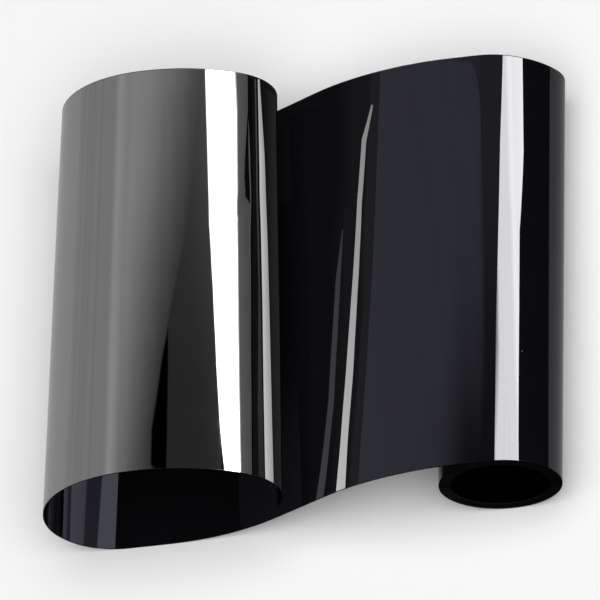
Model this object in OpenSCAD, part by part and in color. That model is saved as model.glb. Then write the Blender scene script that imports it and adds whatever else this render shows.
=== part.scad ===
// Roll of sign vinyl: one long strip of glossy film on its release liner.
// The strip lies on a table. Its free end stands in an open curl on the left,
// a single span climbs to the right, and the rest is wound in a loose hollow roll.
// Millimetres, Z up, roll axis along Y, table at Z = 0.
// The strip is described by its liner's outer side and thickened towards the gloss side.

/* [Film] */
// Width of the strip, along the roll
film_w = 305; // [150:1:640]
// Thickness of the coloured face film with its adhesive
face_t = 0.11; // [0.06:0.01:0.2]
// Thickness of the release liner
liner_t = 0.14; // [0.08:0.01:0.25]

/* [Roll] */
// Outside diameter of the roll
roll_d = 85; // [70:1:120]
// Turns wound between the outer wrap and the inner wrap
turns = 9; // [4:1:20]
// Clear gap from one turn to the next
turn_gap = 0.47; // [0.42:0.01:0.7]
// How far round the outer wrap keeps its full size
wrap_deg = 300; // [270:1:310]
// Angle over which the strip steps in to the next wrap
step_deg = 48; // [30:1:48]
// How far round the inner wrap reaches
inner_deg = 330; // [300:1:345]
// Parting between the outer wrap and the winding, which turns inside it
parting = 0.02; // [0.01:0.01:0.1]
// How far the outer wrap stands off sideways at the far end, and how far it sags there
far_slack = 9; // [0:0.5:12]
far_sag = 6; // [0:0.5:8]
// Where that slack starts, round from the top
slack_deg = 25; // [20:1:60]

/* [Span] */
// Straight stretch that leaves the top of the roll
lead_len = 18; // [8:1:40]
// Bend radius where the span tips over and comes down
brow_r = 186; // [120:1:220]
// Steepest slope of the span
slope_deg = 34; // [28:1:36]
// Bend radius where the span flattens out to the table
sweep_r = 150; // [100:1:170]
// Flat stretch that lies on the table
foot_len = 25; // [20:1:60]

/* [Curl] */
// Bend radius and angle where the strip leaves the table
toe_r = 42; // [35:1:50]
toe_deg = 55; // [45:1:60]
// Bend radius of the curl's outer nose
nose_r = 64; // [56:1:72]
// Bend radius and angle of the curl's back
back_r = 78; // [70:1:86]
back_deg = 83; // [75:1:88]
// Bend radius and angle over the top of the curl
crown_r = 114; // [105:1:125]
crown_deg = 44; // [40:1:48]
// Bend radius and angle of the free end that tucks in
tuck_r = 48; // [42:1:52]
tuck_deg = 88; // [70:1:92]
// Size of the curl at the far end of the roll against the near end
far_size = 0.91; // [0.88:0.01:1]
// How much earlier the strip leaves the table at the far end
far_lift = 11; // [0:1:14]

/* [Hidden] */
film_t = face_t + liner_t;
pitch = film_t + turn_gap;
roll_r = roll_d / 2;
turn_steps = 40;
bend_step = 4;
gloss_black = [0.04, 0.04, 0.05];
liner_grey = [0.50, 0.51, 0.54];

// Strip poses: a pose is [x, z, heading], and a bend is [length, turn in degrees].
function bend(r, deg) = [r * abs(deg) * PI / 180, deg];
function ahead(p, b) =
    let (half = b[1] / 2, chord = b[1] == 0 ? b[0] : b[0] * sin(half) / (half * PI / 180))
    [p[0] + chord * cos(p[2] + half), p[1] + chord * sin(p[2] + half), p[2] + b[1]];
function after(p, bends, i = 0) = i == len(bends) ? p : after(ahead(p, bends[i]), bends, i + 1);
function steps(b) = max(1, ceil(b[0] / bend_step));
function part_of(b, s) = [b[0] * s, b[1] * s];
function line_of(p, bends, counts, i = 0) = i == len(bends) ? [p] : concat(
    [for (k = [0:counts[i] - 1]) ahead(p, part_of(bends[i], k / counts[i]))],
    line_of(ahead(p, bends[i]), bends, counts, i + 1));
function offset_of(p, d) = [p[0] + d * sin(p[2]), p[1] - d * cos(p[2])];

// Free span and curl. The slope's length brings the strip down to the table exactly.
slope_len = (roll_d - film_t - (brow_r + sweep_r) * (1 - cos(slope_deg))) / sin(slope_deg);
span_bends = [[lead_len, 0], bend(brow_r, slope_deg)];
rise_bends = [[slope_len, 0], bend(sweep_r, -slope_deg)];
nose_low = bend(nose_r, -(90 - toe_deg));
foot_bends = concat(rise_bends, [[foot_len, 0], bend(toe_r, -toe_deg), nose_low]);
flap_bends = [bend(back_r, -back_deg), bend(crown_r, -crown_deg), bend(tuck_r, -tuck_deg)];

// At the far end the strip leaves the table sooner and bends the same way, a little smaller.
function smaller(b) = [b[0] * far_size, b[1]];
far_foot = concat(rise_bends, [[foot_len - far_lift, 0], smaller(bend(toe_r, -toe_deg)), smaller(nose_low)]);
far_flap = [for (b = flap_bends) smaller(b)];

top = [0, roll_d - film_t, 180];
base_start = after(top, span_bends);
near_hinge = after(base_start, foot_bends);
far_hinge = after(base_start, far_foot);
foot_counts = [for (b = foot_bends) steps(b)];
flap_counts = [for (b = flap_bends) steps(b)];

span_line = line_of(top, span_bends, [for (b = span_bends) steps(b)]);
near_base = line_of(base_start, foot_bends, foot_counts);
far_base = line_of(base_start, far_foot, foot_counts);
near_flap = line_of(near_hinge, flap_bends, flap_counts);
far_flap_line = line_of(far_hinge, far_flap, flap_counts);

// Wound strip: the liner's inner side as [turned angle, radius], clockwise from the top.
wrap_r = roll_r - film_t;
wound_r = wrap_r - pitch;
wound_from = wrap_deg + step_deg;
wound_to = wound_from + 360 * turns;
bore_r = wound_r - pitch * turns - pitch;
turn_step = 360 / turn_steps;
function ease(s) = s * s * (3 - 2 * s);
function stepped(u, from) = ease(min(1, max(0, (u - from) / step_deg)));
function angles(from, to) = [for (k = [0:ceil((to - from) / turn_step)]) min(to, from + k * turn_step)];
wrap_line = [for (u = angles(0, wound_from)) [u, wrap_r - pitch * stepped(u, wrap_deg)]];
winding_from = wound_from + parting / wound_r * 180 / PI;
winding_line = [for (u = angles(winding_from, wound_to))
    [u, wound_r - pitch * (u - wound_from) / 360 - pitch * stepped(u, wound_to - step_deg)]];
function wound_at(p, d) = [(p[1] + d) * sin(p[0]), roll_r + (p[1] + d) * cos(p[0])];

// At the far end the outer wrap is slack: it stands off the winding on its open side and sags.
function slack(u) = u <= slack_deg || u >= 180 ? 0 : pow(sin(180 * (u - slack_deg) / (180 - slack_deg)), 2);
function slack_at(p, d) = wound_at(p, d) + slack(p[0]) * [far_slack, -far_sag];

// Least gap from each turn's gloss side to the liner of the turn around it, measured on points.
wound_line = concat(wrap_line, winding_line,
    [for (u = angles(wound_to, wound_to + inner_deg)) [u, bore_r]]);
function around(i) = [for (j = [max(0, i - turn_steps - 4):1:i - turn_steps + 4])
    norm(wound_at(wound_line[i], film_t) - wound_at(wound_line[j], 0))];
least_gap = min([for (i = [turn_steps:len(wound_line) - 1]) min(around(i))]);
echo("least gap between turns, mm", least_gap);

// The middle of the part's length comes to X = 0.
x_left = min([for (p = concat(near_base, near_flap)) p[0]]);
x_right = max([for (p = wrap_line) slack_at(p, film_t)[0]]);
middle = (x_left + x_right) / 2;

module along_roll(points) {
    translate([-middle, 0, 0])
        rotate([90, 0, 0])
            linear_extrude(film_w, center = true)
                polygon(points);
}

module straight_strip(line, d0, d1) {
    along_roll(concat([for (p = line) offset_of(p, d0)],
                      [for (i = [len(line) - 1:-1:0]) offset_of(line[i], d1)]));
}

module wound_strip(line, d0, d1) {
    along_roll(concat([for (p = line) wound_at(p, d0)],
                      [for (i = [len(line) - 1:-1:0]) wound_at(line[i], d1)]));
}

// A strip whose two ends bend a little differently, with straight lines between them.
// Each end has one row of [x, z] points for the strip's one side and one for the other.
function at_end(row, side) = [for (q = row) [q[0] - middle, side * film_w / 2, q[1]]];

module ruled_solid(near0, near1, far0, far1) {
    n = len(near0);
    points = concat(at_end(near0, -1), at_end(near1, -1), at_end(far0, 1), at_end(far1, 1));
    outer = [for (i = [0:n - 2]) each [[i, 2 * n + i, 2 * n + i + 1], [i, 2 * n + i + 1, i + 1]]];
    inner = [for (i = [0:n - 2]) each [[n + i, 3 * n + i + 1, 3 * n + i], [n + i, n + i + 1, 3 * n + i + 1]]];
    near_edge = [for (i = [0:n - 2]) each [[i, i + 1, n + i + 1], [i, n + i + 1, n + i]]];
    far_edge = [for (i = [0:n - 2]) each
        [[2 * n + i, 3 * n + i + 1, 2 * n + i + 1], [2 * n + i, 3 * n + i, 3 * n + i + 1]]];
    ends = [[0, n, 3 * n], [0, 3 * n, 2 * n],
            [n - 1, 4 * n - 1, 2 * n - 1], [n - 1, 3 * n - 1, 4 * n - 1]];
    polyhedron(points, concat(outer, inner, near_edge, far_edge, ends));
}

module ruled_strip(near, far, d0, d1) {
    ruled_solid([for (p = near) offset_of(p, d0)], [for (p = near) offset_of(p, d1)],
                [for (p = far) offset_of(p, d0)], [for (p = far) offset_of(p, d1)]);
}

module slack_strip(line, d0, d1) {
    back = [for (i = [len(line) - 1:-1:0]) line[i]];
    ruled_solid([for (p = back) wound_at(p, d0)], [for (p = back) wound_at(p, d1)],
                [for (p = back) slack_at(p, d0)], [for (p = back) slack_at(p, d1)]);
}

// The inner wrap is truly round, so a holder's arm fits the hollow.
module inner_ring(d0, d1) {
    translate([-middle, film_w / 2, roll_r])
        rotate([90, 0, 0])
            rotate([0, 0, 90 - wound_to - inner_deg])
                rotate_extrude(angle = inner_deg, $fn = 120)
                    translate([bore_r + d0, 0])
                        square([d1 - d0, film_w]);
}

module flap_liner() color(liner_grey) ruled_strip(near_flap, far_flap_line, 0, liner_t);
module flap_face() color(gloss_black) ruled_strip(near_flap, far_flap_line, liner_t, film_t);
module base_liner() color(liner_grey) ruled_strip(near_base, far_base, 0, liner_t);
module base_face() color(gloss_black) ruled_strip(near_base, far_base, liner_t, film_t);
module span_liner() color(liner_grey) straight_strip(span_line, 0, liner_t);
module span_face() color(gloss_black) straight_strip(span_line, liner_t, film_t);
module wrap_liner() color(liner_grey) slack_strip(wrap_line, 0, liner_t);
module wrap_face() color(gloss_black) slack_strip(wrap_line, liner_t, film_t);
module winding_liner() color(liner_grey) wound_strip(winding_line, 0, liner_t);
module winding_face() color(gloss_black) wound_strip(winding_line, liner_t, film_t);
module inner_liner() color(liner_grey) inner_ring(0, liner_t);
module inner_face() color(gloss_black) inner_ring(liner_t, film_t);

flap_liner();
flap_face();
base_liner();
base_face();
span_liner();
span_face();
wrap_liner();
wrap_face();
winding_liner();
winding_face();
inner_liner();
inner_face();
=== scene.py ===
import math

import bpy
import numpy as np
from mathutils import Matrix, Vector


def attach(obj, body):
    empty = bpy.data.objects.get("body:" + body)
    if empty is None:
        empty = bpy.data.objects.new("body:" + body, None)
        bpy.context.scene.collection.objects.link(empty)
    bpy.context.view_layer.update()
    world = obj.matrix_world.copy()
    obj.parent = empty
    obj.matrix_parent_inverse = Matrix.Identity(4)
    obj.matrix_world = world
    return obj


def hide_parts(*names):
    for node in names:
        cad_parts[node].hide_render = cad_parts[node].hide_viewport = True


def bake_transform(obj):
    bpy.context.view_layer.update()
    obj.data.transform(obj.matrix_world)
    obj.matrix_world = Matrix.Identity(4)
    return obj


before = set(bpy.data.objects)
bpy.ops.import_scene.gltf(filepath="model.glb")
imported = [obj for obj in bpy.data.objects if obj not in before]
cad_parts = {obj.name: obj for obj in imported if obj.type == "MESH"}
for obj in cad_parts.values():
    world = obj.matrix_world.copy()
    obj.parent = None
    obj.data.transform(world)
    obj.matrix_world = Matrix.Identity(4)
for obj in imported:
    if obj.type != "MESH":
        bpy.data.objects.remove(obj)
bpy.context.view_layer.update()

# Sizes of the strip, in metres and degrees, as the solids have them
FILM_W = 0.305
FACE_T = 0.00011
LINER_T = 0.00014
FILM_T = FACE_T + LINER_T
ROLL_D = 0.085
ROLL_R = ROLL_D / 2
TURNS = 9
TURN_GAP = 0.00047
PITCH = FILM_T + TURN_GAP
WRAP_DEG = 300
STEP_DEG = 48
INNER_DEG = 330
FAR_SLACK = 0.009
FAR_SAG = 0.006
SLACK_DEG = 25
LEAD_LEN = 0.018
BROW_R = 0.186
SLOPE_DEG = 34
SWEEP_R = 0.150
FOOT_LEN = 0.025
TOE_R = 0.042
TOE_DEG = 55
NOSE_R = 0.064
BACK_R = 0.078
BACK_DEG = 83
CROWN_R = 0.114
CROWN_DEG = 44
TUCK_R = 0.048
TUCK_DEG = 88
FAR_SIZE = 0.91
FAR_LIFT = 0.011

# How finely the film is modelled
ALONG_STEP = 0.00125
ACROSS_STEPS = 60
EASE_LEN = 0.004
BLUR_REACH = 4


# The strip's path, seen along the roll: a pose is (x, z, heading in degrees)
def bend(radius, degrees):
    return radius * abs(math.radians(degrees)), degrees


def ahead(pose, length, turn):
    x, z, heading = pose
    half = math.radians(turn / 2)
    chord = length if turn == 0 else length * math.sin(half) / half
    way = math.radians(heading + turn / 2)
    return x + chord * math.cos(way), z + chord * math.sin(way), heading + turn


def path_points(pose, bends, counts):
    points = []
    for (length, turn), count in zip(bends, counts):
        points += [ahead(pose, length * k / count, turn * k / count)[:2] for k in range(count)]
        pose = ahead(pose, length, turn)
    return points + [pose[:2]]


def eased(share):
    share = min(1.0, max(0.0, share))
    return share * share * (3 - 2 * share)


def outer_wrap(far):
    """Points of the outer wrap's liner side, from where it dives under itself round to the top."""
    first = WRAP_DEG + STEP_DEG
    count = round(math.radians(first) * ROLL_R / ALONG_STEP)
    points = []
    for k in range(count):
        turned = first * (1 - k / count)
        radius = ROLL_R - FILM_T - PITCH * eased((turned - WRAP_DEG) / STEP_DEG)
        x = radius * math.sin(math.radians(turned))
        z = ROLL_R + radius * math.cos(math.radians(turned))
        if far and SLACK_DEG < turned < 180:
            share = math.sin(math.pi * (turned - SLACK_DEG) / (180 - SLACK_DEG)) ** 2
            x += FAR_SLACK * share
            z -= FAR_SAG * share
        points.append((x, z))
    return points


slope_drop = ROLL_D - FILM_T - (BROW_R + SWEEP_R) * (1 - math.cos(math.radians(SLOPE_DEG)))
slope_len = slope_drop / math.sin(math.radians(SLOPE_DEG))
span_bends = [(LEAD_LEN, 0), bend(BROW_R, SLOPE_DEG)]
rise_bends = [(slope_len, 0), bend(SWEEP_R, -SLOPE_DEG)]
curl_bends = [bend(TOE_R, -TOE_DEG), bend(NOSE_R, TOE_DEG - 90), bend(BACK_R, -BACK_DEG),
              bend(CROWN_R, -CROWN_DEG), bend(TUCK_R, -TUCK_DEG)]
near_bends = span_bends + rise_bends + [(FOOT_LEN, 0)] + curl_bends
far_bends = span_bends + rise_bends + [(FOOT_LEN - FAR_LIFT, 0)]
far_bends += [(length * FAR_SIZE, turn) for length, turn in curl_bends]
counts = [max(2, round(length / ALONG_STEP)) for length, turn in near_bends]

top = (0.0, ROLL_D - FILM_T, 180.0)
near_wrap, far_wrap = outer_wrap(False), outer_wrap(True)
near_line = np.array(near_wrap + path_points(top, near_bends, counts))
far_line = np.array(far_wrap + path_points(top, far_bends, counts))

# Rows of the whole line at which its stretches start
bend_row = np.concatenate([[0], np.cumsum(counts)]) + len(near_wrap)
TOP_ROW = int(bend_row[0])
BASE_ROW = int(bend_row[2])
FOOT_ROW = int(bend_row[4])
LAST_ROW = len(near_line) - 1
SPAN_ROW = TOP_ROW + counts[0] // 2
CURL_ROW = FOOT_ROW + counts[4] // 3

# The part's length is centred on X = 0
right_edge = max(x + FILM_T for x, z in far_wrap)
MIDDLE = (near_line[:, 0].min() + right_edge) / 2
near_line[:, 0] -= MIDDLE
far_line[:, 0] -= MIDDLE
ROLL_X = -MIDDLE
HALF_W = FILM_W / 2


def softened(line, length):
    """The line with its changes of bend eased over a length, and its round stretches kept at their size."""
    reach = int(BLUR_REACH * length / ALONG_STEP)
    weights = np.exp(-0.5 * (np.arange(-reach, reach + 1) * ALONG_STEP / length) ** 2)
    weights /= weights.sum()

    def blurred(points):
        head = 2 * points[0] - points[reach:0:-1]
        tail = 2 * points[-1] - points[-2:-reach - 2:-1]
        padded = np.concatenate([head, points, tail])
        return np.stack([np.convolve(padded[:, k], weights, "valid") for k in range(2)], 1)

    once = blurred(line)
    return 2 * once - blurred(once)


near_line = softened(near_line, EASE_LEN)
far_line = softened(far_line, EASE_LEN)
steps = np.linalg.norm(np.diff((near_line + far_line) / 2, axis=0), axis=1)
LENGTH_AT = np.concatenate([[0], np.cumsum(steps)])


# The film's surface: straight lines across, a little wavy, thickened to its gloss side.
# A dent has its place along and across the film, its half length and half width, and its depth.
DENTS = [
    (LENGTH_AT[LAST_ROW] - 0.060, 0.060, 0.007, 0.016, 0.00022),
    (LENGTH_AT[LAST_ROW] - 0.050, -0.02, 0.009, 0.030, 0.00008),
    (LENGTH_AT[BASE_ROW] + 0.012, 0.030, 0.012, 0.022, 0.00010),
    (LENGTH_AT[BASE_ROW] - 0.020, -0.070, 0.012, 0.030, 0.00008),
]

# Heights of the film's waves, from the longest to the finest
SLANTING_WAVE = 0.00012
LONG_WAVE = 0.00006
CROSS_WAVE = 0.00009
RIPPLE = 0.000005

# The waves die out this far from the foot's middle, and only a share of them is left on the roll
FLAT_REACH = 0.06
WOUND_SHARE = 0.25
WOUND_LEAD = 0.02
WOUND_FADE = 0.012


def waviness(along, across):
    """How far the film stands off its even shape, in metres: long shallow waves, none where it lies flat."""
    wave = SLANTING_WAVE * np.sin(along * 41 + across * 9 + 0.6) * np.sin(across * 13 + 1.1)
    wave += LONG_WAVE * np.sin(along * 73 - across * 21 + 2.2)
    wave += CROSS_WAVE * np.sin(across * 27 + along * 6 + 0.3)
    wave += RIPPLE * np.sin(along * 80 + 0.9) * np.sin(across * 150 + 2 * np.sin(across * 20))
    for place, side, length, width, depth in DENTS:
        wave = wave - depth * np.exp(-((along - place) / length) ** 2 - ((across - side) / width) ** 2)
    from_foot = (along - LENGTH_AT[FOOT_ROW] - FOOT_LEN / 2) / FLAT_REACH
    free = 1 - np.exp(-from_foot ** 2)
    off_roll = 1 / (1 + np.exp((LENGTH_AT[SPAN_ROW] + WOUND_LEAD - along) / WOUND_FADE))
    return wave * free * (WOUND_SHARE + (1 - WOUND_SHARE) * off_roll)


def film_points(first, last, depth):
    share = np.linspace(0, 1, ACROSS_STEPS + 1)
    rows = slice(first, last + 1)
    wide = slice(max(0, first - 1), last + 2)
    flat = near_line[wide, None] * (1 - share[:, None]) + far_line[wide, None] * share[:, None]
    lead = np.gradient(flat, axis=0)
    lead /= np.linalg.norm(lead, axis=2)[:, :, None]
    gloss = np.stack([lead[:, :, 1], -lead[:, :, 0]], 2)
    inside = slice(first - wide.start, first - wide.start + last - first + 1)
    across = (share * 2 - 1) * HALF_W
    stand_off = waviness(LENGTH_AT[rows, None], across[None, :])
    place = flat[inside] + gloss[inside] * (depth + stand_off)[:, :, None]
    count = last - first + 1
    points = np.empty((count, ACROSS_STEPS + 1, 3))
    points[:, :, 0] = place[:, :, 0]
    points[:, :, 1] = across[None, :]
    points[:, :, 2] = place[:, :, 1]
    uv = np.empty((count, ACROSS_STEPS + 1, 2))
    uv[:, :, 0] = LENGTH_AT[rows, None]
    uv[:, :, 1] = across[None, :]
    return points, uv


def film_piece(name, first, last, low, high, finish):
    """A closed sheet between two depths of the film, from one row of its line to another."""
    under, uv = film_points(first, last, low)
    over, _ = film_points(first, last, high)
    n, m = under.shape[:2]
    number = np.arange(2 * n * m).reshape(2, n, m)
    a, b = number

    def quads(p, q, r, s):
        return np.stack([p, q, r, s], -1).reshape(-1, 4)

    faces = [
        quads(a[:-1, :-1], a[:-1, 1:], a[1:, 1:], a[1:, :-1]),
        quads(b[:-1, :-1], b[1:, :-1], b[1:, 1:], b[:-1, 1:]),
        quads(a[:-1, 0], a[1:, 0], b[1:, 0], b[:-1, 0]),
        quads(a[:-1, -1], b[:-1, -1], b[1:, -1], a[1:, -1]),
        quads(a[0, :-1], b[0, :-1], b[0, 1:], a[0, 1:]),
        quads(a[-1, :-1], a[-1, 1:], b[-1, 1:], b[-1, :-1]),
    ]
    faces = np.concatenate(faces)
    mesh = bpy.data.meshes.new(name)
    mesh.from_pydata(np.concatenate([under, over]).reshape(-1, 3).tolist(), [], faces.tolist())
    mesh.polygons.foreach_set("use_smooth", np.ones(len(faces), bool))
    film_uv = np.concatenate([uv, uv]).reshape(-1, 2)
    mesh.uv_layers.new(name="film").data.foreach_set("uv", film_uv[faces.ravel()].ravel())

    # The sheet's rim stays crisp
    edges = np.empty(len(mesh.edges) * 2, int)
    mesh.edges.foreach_get("vertices", edges)
    edges = edges.reshape(-1, 2)
    row, column = edges % (n * m) // m, edges % m
    rim = (row == 0) | (row == n - 1) | (column == 0) | (column == m - 1)
    corner = ((row == 0) | (row == n - 1)) & ((column == 0) | (column == m - 1))
    same_side = edges[:, 0] // (n * m) == edges[:, 1] // (n * m)
    crisp = np.where(same_side, rim.all(1), corner.all(1))
    mesh.attributes.new("sharp_edge", "BOOLEAN", "EDGE").data.foreach_set("value", crisp)
    mesh.materials.append(finish)
    mesh.update()
    piece = bpy.data.objects.new(name, mesh)
    bpy.context.scene.collection.objects.link(piece)
    return piece


# Nodes: maths as expressions on sockets, and one way to add any other node
def put(socket, value):
    """Sets one input, or links it where the value comes from another node."""
    if isinstance(value, Sock):
        socket.id_data.links.new(value.out, socket)
    else:
        socket.default_value = value


def add_node(tree, kind, settings=None, inputs=None):
    """A new node: its settings first, then values or links for its inputs, by name or by number."""
    node = tree.nodes.new(kind)
    for key, value in (settings or {}).items():
        setattr(node, key, value)
    for key, value in (inputs or {}).items():
        put(node.inputs[key], value)
    return node


class Sock:
    """An output of a node, on which maths is written as expressions."""

    def __init__(self, node, output=0):
        self.out = node.outputs[output]
        self.tree = node.id_data

    def then(self, kind, settings=None, inputs=None, output=0):
        """One output of a new node in the same tree."""
        return Sock(add_node(self.tree, kind, settings, inputs), output)

    def maths(self, operation, *others):
        """A Math node that takes this value first."""
        return self.then("ShaderNodeMath", {"operation": operation}, dict(enumerate((self, *others))))

    def maths_after(self, operation, first):
        """A Math node that takes this value second."""
        return self.then("ShaderNodeMath", {"operation": operation}, {0: first, 1: self})

    def __add__(self, other):
        return self.maths("ADD", other)

    def __radd__(self, other):
        return self.maths_after("ADD", other)

    def __sub__(self, other):
        return self.maths("SUBTRACT", other)

    def __rsub__(self, other):
        return self.maths_after("SUBTRACT", other)

    def __mul__(self, other):
        return self.maths("MULTIPLY", other)

    def __rmul__(self, other):
        return self.maths_after("MULTIPLY", other)

    def __truediv__(self, other):
        return self.maths("DIVIDE", other)

    def __rtruediv__(self, other):
        return self.maths_after("DIVIDE", other)

    def above(self, start, end):
        """0 below start, 1 above end, and smooth between."""
        return self.then("ShaderNodeMapRange", {"interpolation_type": "SMOOTHSTEP"},
                         {"Value": self, "From Min": start, "From Max": end})

    def colour(self, low, high):
        """A colour from low to high as this value goes from 0 to 1."""
        tones = [tone if isinstance(tone, Sock) else (*tone, 1) for tone in (low, high)]
        inputs = {"Factor": self, 6: tones[0], 7: tones[1]}
        return self.then("ShaderNodeMix", {"data_type": "RGBA"}, inputs, 2)


# The film's two finishes. Haze and draw lines shift the tone from low to high, and each roughens it a little.
GLOSS_BLACK = {
    "low": (0.0024, 0.0025, 0.0032),
    "high": (0.0044, 0.0046, 0.0058),
    "haze_share": 0.7,
    "dust": (0.16, 0.16, 0.17),
    "dust_share": 0.5,
    # Along the cut edges the black goes darker still: partly the film's own black, partly painted shade in
    # the gaps between the wound turns
    "shaded_cut_edge": (0.0012, 0.0012, 0.0014),
    "rough": 0.012,
    "haze_rough": 0.020,
    "line_rough": 0.012,
    "dust_rough": 0.3,
    "metal": False,
    "constants": {"IOR": 1.57, "Specular Tint": (0.85, 0.88, 1.0, 1)},
}
SILVER_GREY = {
    "low": (0.415, 0.415, 0.42),
    "high": (0.475, 0.475, 0.48),
    "haze_share": 0.6,
    "dust": (0.62, 0.62, 0.63),
    "dust_share": 0.6,
    # Along the cut edges the silver is painted near black: painted shade in the gaps between the wound turns,
    # not the liner's own colour
    "shaded_cut_edge": (0.003, 0.003, 0.0033),
    "rough": 0.018,
    "haze_rough": 0.022,
    "line_rough": 0.016,
    "dust_rough": 0.35,
    "metal": True,
    "constants": {},
}
DUST_CELLS = 95.0
EDGE_BAND = 0.0005
EDGE_FADE = 0.0001
EDGE_ROUGH = 0.95
BUMP_STRENGTH = 0.02
BUMP_HEIGHT = 0.00002


def cloudy(place, along, across, detail):
    """Noise with so many patches to the metre along and across the film."""
    stretched = place.then("ShaderNodeMapping", None, {"Vector": place, "Scale": (along, across, 1)})
    return place.then("ShaderNodeTexNoise", None, {"Vector": stretched, "Scale": 1.0, "Detail": detail})


def film_details(place):
    """What shows on the film up close: draw lines, haze, dust, a soft unevenness, and a band along its cut
    edges painted dark as shade.
    """
    draw_lines = cloudy(place, along=3, across=900, detail=3.0)
    haze = cloudy(place, along=14, across=20, detail=4.0)
    cells = add_node(place.tree, "ShaderNodeTexVoronoi", {"feature": "F1"},
                     {"Vector": place, "Scale": DUST_CELLS})
    pick = place.then("ShaderNodeTexWhiteNoise", None, {"Vector": Sock(cells, "Position")})
    dust = (1 - Sock(cells, "Distance").above(0.018, 0.05)) * pick.above(0.93, 0.94)
    unevenness = cloudy(place, along=260, across=260, detail=2.0)
    bump = place.then("ShaderNodeBump", None, {"Height": unevenness, "Strength": BUMP_STRENGTH,
                                               "Distance": BUMP_HEIGHT})
    across = place.then("ShaderNodeSeparateXYZ", None, {"Vector": place}, "Y")
    # A band along the long edges, where the finish is painted dark as shade between the wound turns
    edge_from = HALF_W - EDGE_BAND
    shaded_cut_edge = across.maths("ABSOLUTE").above(edge_from, edge_from + EDGE_FADE)
    return draw_lines, haze, dust, bump, shaded_cut_edge


def film_finish(name, look):
    material = bpy.data.materials.new(name)
    material.use_nodes = True
    tree = material.node_tree
    shader = tree.nodes["Principled BSDF"].inputs
    place = Sock(add_node(tree, "ShaderNodeUVMap", {"uv_map": "film"}))
    draw_lines, haze, dust, bump, shaded_cut_edge = film_details(place)
    shift = haze * look["haze_share"] + draw_lines * (1 - look["haze_share"])
    tone = shift.colour(look["low"], look["high"])
    tone = (dust * look["dust_share"]).colour(tone, look["dust"])
    rough = look["rough"] + look["haze_rough"] * haze.above(0.45, 0.75)
    rough = rough + look["line_rough"] * draw_lines.above(0.5, 0.8) + look["dust_rough"] * dust
    # In the edge band the tone goes near black, and the face film turns metallic and rough, so the band
    # barely reflects: painted shade between the wound turns
    put(shader["Base Color"], shaded_cut_edge.colour(tone, look["shaded_cut_edge"]))
    put(shader["Metallic"], 1.0 if look["metal"] else shaded_cut_edge)
    put(shader["Roughness"], rough + EDGE_ROUGH * shaded_cut_edge)
    put(shader["Normal"], bump)
    for key, value in look["constants"].items():
        put(shader[key], value)
    return material


FACE = film_finish("gloss_black_face", GLOSS_BLACK)
LINER = film_finish("silver_grey_liner", SILVER_GREY)


# The wound turns: a spiral strip made by geometry nodes
WOUND_SIZES = {
    "First Radius": ("Float", ROLL_R - FILM_T - PITCH),
    "Pitch": ("Float", PITCH),
    "Turns": ("Float", float(TURNS)),
    "First Angle": ("Float", float(WRAP_DEG + STEP_DEG)),
    "Step Angle": ("Float", float(STEP_DEG)),
    "Inner Angle": ("Float", float(INNER_DEG)),
    "Width": ("Float", FILM_W),
    "Low Depth": ("Float", 0.0),
    "High Depth": ("Float", FILM_T),
    "Steps per Turn": ("Int", 144),
    "Edge Wander": ("Float", 0.00035),
    "Seed": ("Int", 4),
    "Centre": ("Vector", (ROLL_X, 0.0, ROLL_R)),
    "Finish": ("Material", None),
}
WANDER_DEG = 150
SEED_STRIDE = 17.3
TURN_SHIFT = 40
CRISP_DEG = 40


def wound_strip_tree():
    """The node group, and its inputs' identifiers by name."""
    tree = bpy.data.node_groups.new("wound_strip", "GeometryNodeTree")
    inputs = {}
    for name, (kind, value) in WOUND_SIZES.items():
        made = tree.interface.new_socket(name, in_out="INPUT", socket_type=f"NodeSocket{kind}")
        if value is not None:
            made.default_value = value
        inputs[name] = made.identifier
    tree.interface.new_socket("Geometry", in_out="OUTPUT", socket_type="NodeSocketGeometry")
    given = add_node(tree, "NodeGroupInput")
    size = {name: Sock(given, name) for name in inputs}
    new = Sock(given).then

    # How far round the spiral each point lies, and how far out
    whole_turns = size["Turns"] * 360
    degrees_in_all = whole_turns + size["Inner Angle"]
    count = (degrees_in_all * size["Steps per Turn"] / 360).maths("ROUND")
    turned = new("GeometryNodeInputIndex") * (degrees_in_all / count)
    step_in = turned.above(whole_turns - size["Step Angle"], whole_turns)
    turns_in = turned.maths("MINIMUM", whole_turns) / 360 + step_in
    radius = size["First Radius"] - size["Pitch"] * turns_in + (size["Low Depth"] + size["High Depth"]) * 0.5
    angle = (size["First Angle"] + turned).maths("RADIANS")
    wander = new("ShaderNodeTexNoise", {"noise_dimensions": "1D"},
                 {"W": turned / WANDER_DEG + size["Seed"] * SEED_STRIDE, "Scale": 1.0, "Detail": 1.0})
    aside = (wander - 0.5) * 2 * size["Edge Wander"]

    # The spiral is laid out flat, clockwise from the top, and then stood up with its axis along Y
    spot = new("ShaderNodeCombineXYZ", None, {"X": radius * angle.maths("SINE"),
                                              "Y": radius * angle.maths("COSINE"), "Z": aside})
    line = new("GeometryNodeMeshLine", {"mode": "OFFSET"}, {"Count": count + 1})
    line = new("GeometryNodeSetPosition", None, {"Geometry": line, "Position": spot})
    path = new("GeometryNodeMeshToCurve", None, {"Mesh": line})
    path = new("GeometryNodeSetCurveNormal", {"mode": "Z_UP"}, {"Curve": path})
    section = new("GeometryNodeCurvePrimitiveQuadrilateral", {"mode": "RECTANGLE"},
                  {"Width": size["High Depth"] - size["Low Depth"], "Height": size["Width"]})
    strip = new("GeometryNodeCurveToMesh", None, {"Curve": path, "Profile Curve": section, "Fill Caps": True})
    strip = new("GeometryNodeTransform", None, {"Geometry": strip, "Translation": size["Centre"],
                                                "Rotation": (math.radians(90), 0, 0)})
    strip = new("GeometryNodeSetMaterial", None, {"Geometry": strip, "Material": size["Finish"]})
    add_node(tree, "NodeGroupOutput", None, {0: strip})
    return tree, inputs


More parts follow.
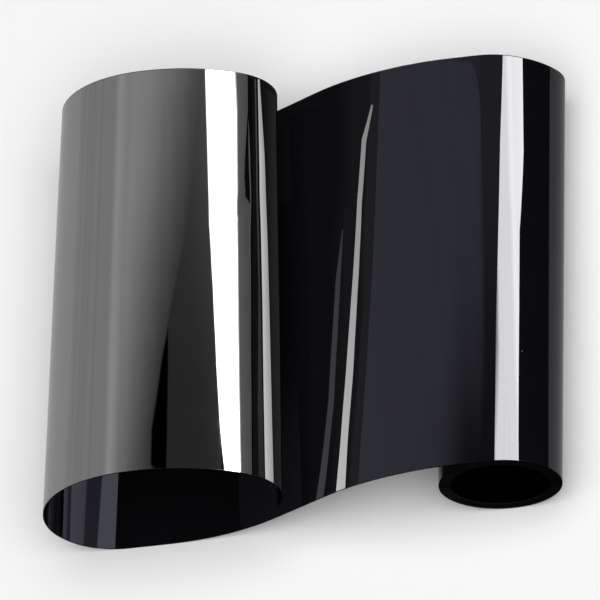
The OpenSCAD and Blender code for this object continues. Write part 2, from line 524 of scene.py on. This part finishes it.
def add_film_uv(mesh):
    """The same film coordinates as on the other stretches: length along the strip, and place across it."""
    co = np.empty(len(mesh.vertices) * 3)
    mesh.vertices.foreach_get("co", co)
    co = co.reshape(-1, 3)
    around = np.arctan2(co[:, 0] - ROLL_X, co[:, 2] - ROLL_R)
    out = np.hypot(co[:, 0] - ROLL_X, co[:, 2] - ROLL_R)
    corner = np.empty(len(mesh.loops), int)
    mesh.loops.foreach_get("vertex_index", corner)
    angle, radius = around[corner], out[corner]
    start = np.empty(len(mesh.polygons), int)
    mesh.polygons.foreach_get("loop_start", start)
    total = np.empty(len(mesh.polygons), int)
    mesh.polygons.foreach_get("loop_total", total)
    first = np.repeat(angle[start], total)
    angle = first + (angle - first + math.pi) % (2 * math.pi) - math.pi
    depth = np.repeat(radius[start], total)
    uv = np.stack([angle * ROLL_R + depth * TURN_SHIFT, co[corner, 1]], 1)
    layer = mesh.uv_layers.get("film") or mesh.uv_layers.new(name="film")
    layer.data.foreach_set("uv", uv.ravel())
    mesh.polygons.foreach_set("use_smooth", np.ones(len(mesh.polygons), bool))
    mesh.set_sharp_from_angle(angle=math.radians(CRISP_DEG))


WOUND_STRIP = wound_strip_tree()


def wound_piece(name, low, high, finish):
    tree, inputs = WOUND_STRIP
    maker = bpy.data.objects.new(name, bpy.data.meshes.new(name))
    bpy.context.scene.collection.objects.link(maker)
    winding = maker.modifiers.new("winding", "NODES")
    winding.node_group = tree
    for key, value in {"Low Depth": low, "High Depth": high, "Finish": finish}.items():
        winding[inputs[key]] = value
    graph = bpy.context.evaluated_depsgraph_get()
    mesh = bpy.data.meshes.new_from_object(maker.evaluated_get(graph), depsgraph=graph)
    bpy.data.objects.remove(maker)
    mesh.name = name
    add_film_uv(mesh)
    piece = bpy.data.objects.new(name, mesh)
    bpy.context.scene.collection.objects.link(piece)
    return piece


# The film's stretches: each has its face film and its liner
LAYERS = {"face": (LINER_T, FILM_T, FACE), "liner": (0.0, LINER_T, LINER)}


for layer, (low, high, finish) in LAYERS.items():
    curl = film_piece(f"curl_{layer}", CURL_ROW, LAST_ROW, low, high, finish)
    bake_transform(curl)
    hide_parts(f"flap_{layer}")

    span = film_piece(f"span_sheet_{layer}", SPAN_ROW, CURL_ROW, low, high, finish)
    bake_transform(span)
    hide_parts(f"span_{layer}", f"base_{layer}")

    wrap = film_piece(f"outer_wrap_{layer}", 0, SPAN_ROW, low, high, finish)
    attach(wrap, "wrap")
    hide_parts(f"wrap_{layer}")

    winding = wound_piece(f"wound_turns_{layer}", low, high, finish)
    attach(winding, "winding")
    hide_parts(f"winding_{layer}", f"inner_{layer}")


# Floor and studio light
FLOOR_Z = -0.0004
FLOOR_HALF = 30.0
MAT_Z = 0.0004
CEILING_Z = 1.1
ROOM_LEFT, ROOM_RIGHT = -1.5, 1.0
ROOM_FRONT, ROOM_BACK = -1.7, 1.7
BACKDROP_AWAY = 4.0
BACKDROP_TOP = 2.0
SCREEN_X = -0.0106
SCREEN_LEAN = 0.0376
CARD_GAP = 0.0005
PANEL_TOP = 1.08
PANEL_LEAN = 0.37
WHITE = (1.0, 1.0, 1.0)
WARM = (1.0, 0.96, 0.88)
COOL = (0.98, 0.98, 1.1)
DARK = 0.02


def plain_floor():
    mesh = bpy.data.meshes.new("floor")
    signs = [(-1, -1), (1, -1), (1, 1), (-1, 1)]
    mesh.from_pydata([(x * FLOOR_HALF, y * FLOOR_HALF, FLOOR_Z) for x, y in signs], [], [(0, 1, 2, 3)])
    material = bpy.data.materials.new("pale_floor")
    material.use_nodes = True
    shader = material.node_tree.nodes["Principled BSDF"].inputs
    put(shader["Base Color"], (0.82, 0.82, 0.83, 1))
    put(shader["Roughness"], 0.9)
    put(shader["Specular IOR Level"], 0.1)
    mesh.materials.append(material)
    floor = bpy.data.objects.new("floor", mesh)
    bpy.context.scene.collection.objects.link(floor)


def soft_sun(strength, spread, tilt, turn):
    lamp = bpy.data.lights.new("soft_light", "SUN")
    lamp.energy = strength
    lamp.angle = math.radians(spread)
    sun = bpy.data.objects.new("soft_light", lamp)
    sun.rotation_euler = (math.radians(tilt), 0, math.radians(turn))
    sun.visible_glossy = False
    bpy.context.scene.collection.objects.link(sun)


def light_card(name, sides, glow, one_sided=False, tint=WHITE):
    """A studio card between its left and right side that only mirror images show, or its front alone.

    glow is its brightness, or works it out from a point's x, y, z and share of the way to the right side.
    """
    left, right = sides
    rows = len(left)
    mesh = bpy.data.meshes.new(name)
    faces = [(k, k + 1, rows + k + 1, rows + k) for k in range(rows - 1)]
    mesh.from_pydata([*left, *right], [], faces)
    corner_shares = [(0.0, 0.0), (0.0, 0.0), (1.0, 0.0), (1.0, 0.0)]
    mesh.uv_layers.new(name="share").data.foreach_set("uv", np.tile(np.ravel(corner_shares), len(faces)))
    material = bpy.data.materials.new(name)
    material.use_nodes = True
    tree = material.node_tree
    tree.nodes.clear()
    if callable(glow):
        place = Sock(add_node(tree, "ShaderNodeTexCoord"), "Object")
        xyz = add_node(tree, "ShaderNodeSeparateXYZ", None, {"Vector": place})
        uv = Sock(add_node(tree, "ShaderNodeUVMap", {"uv_map": "share"}))
        share = uv.then("ShaderNodeSeparateXYZ", None, {"Vector": uv}, "X")
        brightness = glow(Sock(xyz, "X"), Sock(xyz, "Y"), Sock(xyz, "Z"), share)
        inputs = {"Vector": tint, "Scale": brightness}
        colour = uv.then("ShaderNodeVectorMath", {"operation": "SCALE"}, inputs)
        shine = {"Color": colour, "Strength": 1.0}
    else:
        shine = {"Color": (*tint, 1), "Strength": glow}
    seen = Sock(add_node(tree, "ShaderNodeEmission", None, shine))
    if one_sided:
        behind = seen.then("ShaderNodeNewGeometry", output="Backfacing")
        clear = seen.then("ShaderNodeBsdfTransparent")
        seen = seen.then("ShaderNodeMixShader", None, {0: behind, 1: seen, 2: clear})
    add_node(tree, "ShaderNodeOutputMaterial", None, {"Surface": seen})
    mesh.materials.append(material)
    card = bpy.data.objects.new(name, mesh)
    for kind in ("camera", "diffuse", "transmission", "volume_scatter", "shadow"):
        setattr(card, f"visible_{kind}", False)
    bpy.context.scene.collection.objects.link(card)


def sides_of(rows, place):
    """A card's left and right side, from rows of (how far along, left, right)."""
    left = [place(along, side) for along, side, other in rows]
    right = [place(along, side) for along, other, side in rows]
    return left, right


def level(z):
    return lambda y, x: (x, y, z)


def upright(x):
    return lambda y, z: (x, y, z)


def facing(y):
    return lambda z, x: (x, y, z)


def screen(before=0.0):
    """A steep plane between the curl and the slope, or a little before it on the slope's side."""
    return lambda y, z: (SCREEN_X + SCREEN_LEAN * z + before, y, z)


def banded(place, scale, depth):
    """1, give or take depth, in soft bands along one direction."""
    bands = place.then("ShaderNodeTexNoise", {"noise_dimensions": "1D"},
                       {"W": place, "Scale": scale, "Detail": 2.0})
    return 1 + (bands - 0.5) * 2 * depth


def ceiling_glow(x, y, z, share):
    """Bright over the curl's side up to a slanting edge that it fades to, dim over the roll's side."""
    away = y.maths("ABSOLUTE")
    at_front = 1 - away.above(0.330, 0.355)
    slant = (away.maths("MAXIMUM", 0.378) - 0.384) * 2.2
    past_edge = x + 0.115 - slant - at_front * 0.2
    fade = (1 - past_edge.above(-1.0 + at_front * 0.25, 0.31)) * (1 - past_edge.above(-0.04, -0.01))
    bright = 0.37 + 0.13 * x.above(-1.05, -0.84) - 0.08 * x.above(-0.80, -0.62)
    panel = bright * fade * banded(x, scale=7.0, depth=0.10)
    far_off = (away - 0.4).maths("MAXIMUM", 0.0)
    dim = (0.039 + 0.7 * far_off * far_off) * x.above(0.04, 0.06)
    return panel.maths("MAXIMUM", dim)


def wall_glow(x, y, z, share):
    return 0.37 * banded(z, scale=6.0, depth=0.25)


def backdrop_glow(x, y, z, share):
    return 0.5 - 0.4 * z.above(0.0, BACKDROP_TOP)


def strip_glow(x, y, z, share):
    """A soft left edge, and brighter to the right in soft bands."""
    bright = 15.5 + 3.5 * share.above(0.30, 0.55)
    return bright * banded(share, scale=40.0, depth=0.12) * share.above(-0.012, 0.05)


def slope_shade_glow(x, y, z, share):
    return 0.012 + 0.065 * share.above(0.15, 0.45) + 0.11 * share.above(0.70, 0.80)


def slope_panel_glow(x, y, z, share):
    """The pale panel that the slope mirrors: it fades towards the roll, and sooner at the near edge."""
    row = y - PANEL_LEAN * (z - 0.07) + 0.13
    fade_from = 0.2 + 1.6 * row
    fade_to = 0.68 + 2.4 * row + 5.0 * row * row
    return 0.46 * (1 - z.above(fade_from, fade_to)) * banded(row + z, scale=11.0, depth=0.08)


def slope_streak_glow(x, y, z, share):
    return 6.9 - 14 * y


def flank_shade_glow(x, y, z, share):
    return 0.012 + 0.016 * share.above(0.3, 0.6)


def flank_streak_glow(x, y, z, share):
    return 1.15 - 0.5 * share


def flank_line_glow(x, y, z, share):
    return 0.08 + 0.25 * y


def stop_glow(x, y, z, share):
    """Brightest at its head, where it meets the strip light's image."""
    return 0.20 - 0.07 * share + 2.1 * (1 - share.above(0.0, 0.14))


def inner_glow(x, y, z, share):
    """Soft bands that the curl's inner wall mirrors near its open end."""
    bands = 0.45 - 0.25 * z.above(0.0070, 0.0080) + 0.6 * z.above(0.0100, 0.0110)
    bands = bands - 0.55 * z.above(0.0205, 0.0225) + 0.95 * z.above(0.0318, 0.0332)
    return bands * (1 - y.above(-0.05, 0.06))


def shoulder_glow(x, y, z, share):
    return 0.03 + 0.16 * y.above(-0.12, 0.12)


plain_floor()
soft_sun(strength=3.6, spread=70, tilt=14, turn=30)

# The room that the film mirrors: a ceiling, a wall, backdrops and mats
CEILING = [(ROOM_FRONT, ROOM_LEFT, ROOM_RIGHT), (ROOM_BACK, ROOM_LEFT, ROOM_RIGHT)]
light_card("ceiling", sides_of(CEILING, level(CEILING_Z)), ceiling_glow)
LEFT_WALL = [(ROOM_FRONT, 0.0, CEILING_Z), (ROOM_BACK, 0.0, CEILING_Z)]
light_card("left_wall", sides_of(LEFT_WALL, upright(ROOM_LEFT)), wall_glow)
BACKDROP = [(0.0, -3.0, 1.5), (BACKDROP_TOP, -3.0, 1.5)]
light_card("front_backdrop", sides_of(BACKDROP, facing(-BACKDROP_AWAY)), backdrop_glow)
light_card("rear_backdrop", sides_of(BACKDROP, facing(BACKDROP_AWAY)), backdrop_glow)
LEFT_MAT = [(ROOM_FRONT, ROOM_LEFT, -0.187), (ROOM_BACK, ROOM_LEFT, -0.187)]
light_card("left_mat", sides_of(LEFT_MAT, level(MAT_Z)), glow=0.44)
RIGHT_MAT = [(-0.5, 0.15, 0.33), (0.9, 0.15, 0.33)]
light_card("right_mat", sides_of(RIGHT_MAT, level(MAT_Z)), glow=0.36)

# The strip light, whose bent edge is the same to the front as to the back, and its bounce
STRIP_EDGE = [(0.110, -0.07, 0.240), (0.186, 0.06, 0.350), (0.212, 0.12, 0.395), (0.215, 0.19, 0.430),
              (0.197, 0.253, 0.450), (0.160, 0.42, 0.450)]
STRIP_LEFT = [(x, -0.14 - y, z) for x, y, z in STRIP_EDGE[:0:-1]] + STRIP_EDGE
STRIP_RIGHT = [(1.30, y, 0.85) for y in np.linspace(-1.91, 1.31, len(STRIP_LEFT))]
BOUNCE_RIGHT = [(1.32, y, 0.65) for x, y, z in STRIP_RIGHT]
light_card("strip_light", (STRIP_LEFT, STRIP_RIGHT), strip_glow, tint=WARM)
light_card("strip_bounce", (STRIP_RIGHT, BOUNCE_RIGHT), glow=0.17)

# The slope mirrors this side of the screen: a shade, a pale panel above it, a streak and its glint
SLOPE_SHADE = [(-0.165, 0.046, 0.0890), (0.060, 0.058, 0.1265), (0.230, 0.064, 0.1520)]
light_card("slope_shade", sides_of(SLOPE_SHADE, screen()), slope_shade_glow, one_sided=True)
PANEL_LOW = [screen()(y, z) for y, low, z in SLOPE_SHADE]
PANEL_HIGH = [screen()(y + PANEL_LEAN * (PANEL_TOP - z), PANEL_TOP) for y, low, z in SLOPE_SHADE]
light_card("slope_panel", (PANEL_LOW, PANEL_HIGH), slope_panel_glow, one_sided=True, tint=COOL)
SLOPE_STREAK = [(-0.160, 0.0655, 0.0760), (-0.100, 0.0754, 0.0832), (-0.040, 0.0836, 0.0918),
                (0.086, 0.1013, 0.1080), (0.135, 0.1110, 0.1178), (0.166, 0.1284, 0.1311)]
light_card("slope_streak", sides_of(SLOPE_STREAK, screen(CARD_GAP)), slope_streak_glow, one_sided=True,
           tint=WARM)
SLOPE_GLINT = [(-0.160, 0.0490, 0.0540), (-0.071, 0.0638, 0.0695), (0.021, 0.0728, 0.0778),
               (0.060, 0.0807, 0.0817)]
light_card("slope_glint", sides_of(SLOPE_GLINT, screen(CARD_GAP)), glow=0.62, one_sided=True)

# The curl's flank mirrors the screen's other side: a shade, with a streak and a thin line in it
FLANK_SHADE = [(-0.160, 0.1065, 0.045), (0.152, 0.0942, 0.045), (0.154, 0.0940, 0.004),
               (0.220, 0.0915, 0.004)]
light_card("flank_shade", sides_of(FLANK_SHADE, screen(-CARD_GAP)), flank_shade_glow, one_sided=True)
FLANK_STREAK = [(-0.160, 0.0903, 0.0784), (0.030, 0.0877, 0.0790), (0.100, 0.0872, 0.0802),
                (0.158, 0.0864, 0.0842)]
light_card("flank_streak", sides_of(FLANK_STREAK, screen(-2 * CARD_GAP)), flank_streak_glow, one_sided=True)
FLANK_LINE = [(-0.160, 0.0985, 0.0917), (-0.100, 0.0975, 0.0911), (0.000, 0.0928, 0.0907),
              (0.158, 0.0907, 0.0890)]
light_card("flank_line", sides_of(FLANK_LINE, screen(-2 * CARD_GAP)), flank_line_glow, one_sided=True)

# A pale card bounds the strip light's image on the curl, and its notch leaves a dark mark there
STREAK_STOP = [(-0.200, 0.1514, 0.1200), (-0.060, 0.1514, 0.1120), (0.085, 0.1523, 0.1120),
               (0.098, 0.1523, 0.1330), (0.160, 0.1495, 0.1120), (0.250, 0.1560, 0.1080)]
light_card("streak_stop", sides_of(STREAK_STOP, upright(0.04)), stop_glow, one_sided=True)

# A small card widens the shine on the roll's far shoulder, and another lights the curl's inner wall
FAR_SHINE = [(-0.03, 0.170, 0.171), (0.03, 0.170, 0.1775), (0.10, 0.1695, 0.2005), (0.19, 0.168, 0.207)]
light_card("far_shine", sides_of(FAR_SHINE, level(0.088)), glow=18.0, one_sided=True, tint=WARM)
INNER_BANDS = [(-0.16, 0.072, 0.003), (0.06, 0.072, 0.003)]
light_card("inner_bands", sides_of(INNER_BANDS, upright(-0.130)), inner_glow, one_sided=True, tint=COOL)

# Dark flags: two keep the strip light off the roll's shoulder and outer side, and two stand at the far edge
SHOULDER_FLAG = [(-0.17, 0.116, 0.135), (-0.03, 0.128, 0.150), (0.111, 0.132, 0.173), (0.20, 0.132, 0.193)]
light_card("shoulder_flag", sides_of(SHOULDER_FLAG, level(0.13)), shoulder_glow)
SIDE_FLAG = [(-0.4, 0.26), (-0.07, 0.185), (0.09, 0.132), (0.15, 0.10), (0.5, 0.06)]
SIDE_FOOT = [(0.315, y, 0.0) for y, z in SIDE_FLAG]
SIDE_TOP = [(0.268, y, z) for y, z in SIDE_FLAG]
light_card("side_flag", (SIDE_FOOT, SIDE_TOP), glow=0.002)
BACK_FLAG = [(0.0, -0.10, 0.03), (0.045, -0.10, 0.02), (0.067, -0.10, 0.0), (0.070, -0.10, -0.012),
             (0.094, -0.10, -0.012), (0.118, -0.10, -0.05)]
light_card("back_flag", sides_of(BACK_FLAG, facing(0.156)), glow=DARK)
INNER_FLAG = [(0.006, -0.13, -0.10), (0.03, -0.160, -0.035), (0.05, -0.165, -0.03), (0.08, -0.157, -0.035),
              (0.10, -0.14, -0.05), (0.112, -0.12, -0.07)]
light_card("inner_flag", sides_of(INNER_FLAG, facing(0.148)), glow=DARK)

world = bpy.data.worlds.new("studio")
world.use_nodes = True
put(world.node_tree.nodes["Background"].inputs["Color"], (0.006, 0.0062, 0.007, 1))
bpy.context.scene.world = world

# Camera: a long lens from above and the right, turned so that the roll stands upright in the picture
TARGET = Vector((-0.0040, 0.0, 0.0463))
AZIMUTH = math.radians(26.17)
ELEVATION = math.radians(63.28)
ROLL_TURN = math.radians(29.94)
DISTANCE = 8.0
SENSOR_W = 36.0
FOCAL_LEN = 694.3
CLIP_END = 100.0
lens = bpy.data.cameras.new("camera")
lens.sensor_width = SENSOR_W
lens.lens = FOCAL_LEN
lens.clip_end = CLIP_END
camera = bpy.data.objects.new("camera", lens)
facing_object = Matrix.Rotation(AZIMUTH, 4, "Z") @ Matrix.Rotation(math.pi / 2 - ELEVATION, 4, "X")
camera.matrix_world = (Matrix.Translation(TARGET) @ facing_object @ Matrix.Rotation(-ROLL_TURN, 4, "Z")
                       @ Matrix.Translation((0, 0, DISTANCE)))
bpy.context.scene.collection.objects.link(camera)
bpy.context.scene.camera = camera
bpy.context.scene.view_settings.view_transform = "Standard"
